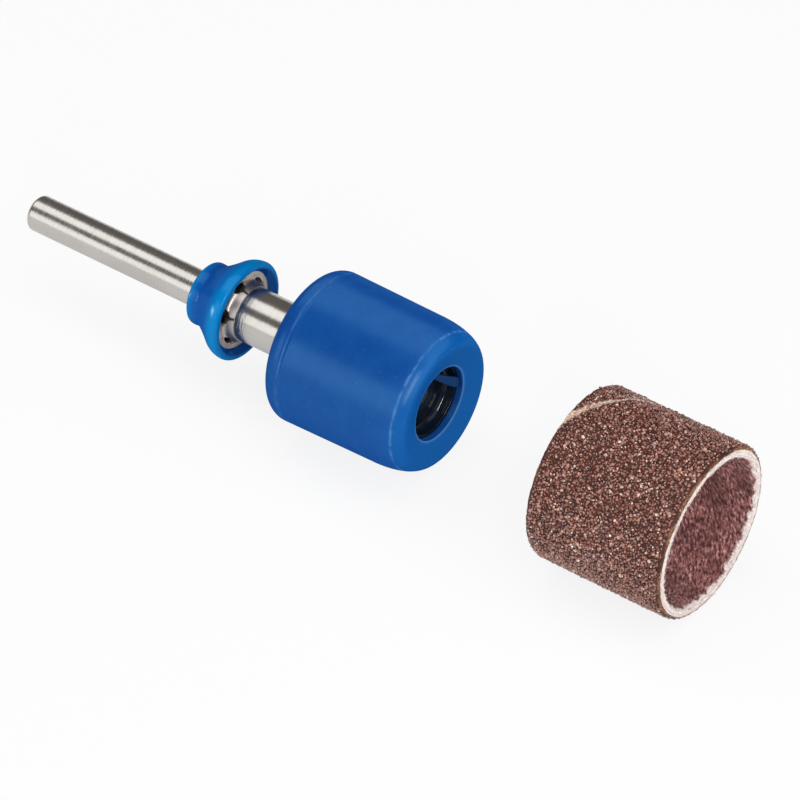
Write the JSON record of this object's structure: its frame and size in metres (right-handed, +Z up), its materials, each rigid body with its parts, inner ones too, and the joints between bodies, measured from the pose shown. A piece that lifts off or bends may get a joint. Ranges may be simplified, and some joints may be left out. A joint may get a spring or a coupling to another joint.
{
  "type": "quick-change sanding drum mandrel",
  "caption": "Round steel shank with a bell-shaped pull collar, a stretchable rubber drum and a loose tubular abrasive band that slides over the drum.",
  "frame": {"origin": "centre of the shank's rear end, on the common axis", "axes": "+X along the axis from the shank's rear end towards the drum and the band, +Z up"},
  "size_m": [0.0681, 0.0152, 0.0152],
  "materials": {
    "shank_steel": "centreless ground steel",
    "sleeve_steel": "turned and polished steel",
    "spring_steel": "satin spring steel",
    "black_nylon": "moulded black nylon",
    "drum_rubber": "satin moulded rubber",
    "collar_plastic": "glossy moulded plastic",
    "liner_cloth": "resin-soaked cotton cloth",
    "abrasive_cloth": "aluminium oxide grit on cloth"
  },
  "bodies": {
    "mandrel": {"shank_pin": "shank_steel", "front_hub": "black_nylon", "drum": "drum_rubber"},
    "puller": {"sleeve": "sleeve_steel", "rear_hub": "black_nylon", "pull_collar": "collar_plastic", "star_washer": "spring_steel"},
    "band": {"band_liner": "liner_cloth", "band_abrasive": "abrasive_cloth"}
  },
  "joints": [
    {"name": "collar_pull", "type": "slide", "parent": "mandrel", "child": "puller", "axis": [-1, 0, 0], "range_m": [0, 0.00275], "stiffness_N_per_m": 10000, "deforming": ["drum"]},
    {"name": "band_slide", "type": "slide", "parent": "mandrel", "child": "band", "axis": [-1, 0, 0], "range_m": [0, 0.0261]}
  ]
}
